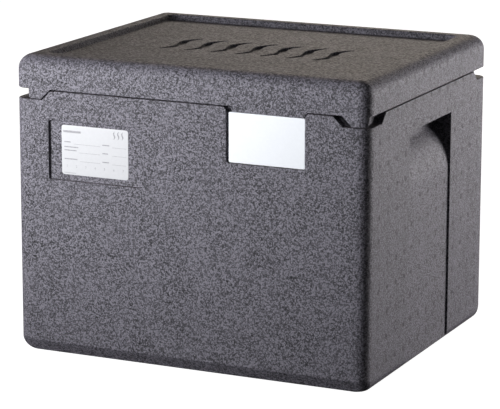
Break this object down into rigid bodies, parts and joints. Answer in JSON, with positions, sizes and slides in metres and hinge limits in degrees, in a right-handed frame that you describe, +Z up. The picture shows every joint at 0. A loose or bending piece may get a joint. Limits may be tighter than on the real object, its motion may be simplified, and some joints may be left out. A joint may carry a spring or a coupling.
{
  "type": "insulated food carrier",
  "caption": "Top-loading insulated carrier for a half-size food pan, with a lift-off lid, hand holds, a write-on label and a blank identity plate.",
  "frame": {"origin": "centre of the base, on the surface that the carrier stands on", "axes": "+Z is up, +X is to the right of someone facing the labelled front, and the front faces -Y"},
  "size_m": [0.39, 0.33, 0.316],
  "materials": {
    "foam": "matte moulded bead foam",
    "lid_foam": "matte moulded bead foam",
    "label_film": "satin printed film",
    "white_plate": "satin white"
  },
  "bodies": {
    "tub": {"tub": "foam", "write_on_label": "label_film"},
    "lid": {"lid": "lid_foam"},
    "plate": {"id_plate": "white_plate"}
  },
  "joints": [
    {"name": "lid_lift", "type": "slide", "parent": "tub", "child": "lid", "axis": [0, 0, 1], "range_m": [0, 0.25]},
    {"name": "plate_pull", "type": "slide", "parent": "tub", "child": "plate", "axis": [0, -1, 0], "range_m": [0, 0.06]}
  ]
}
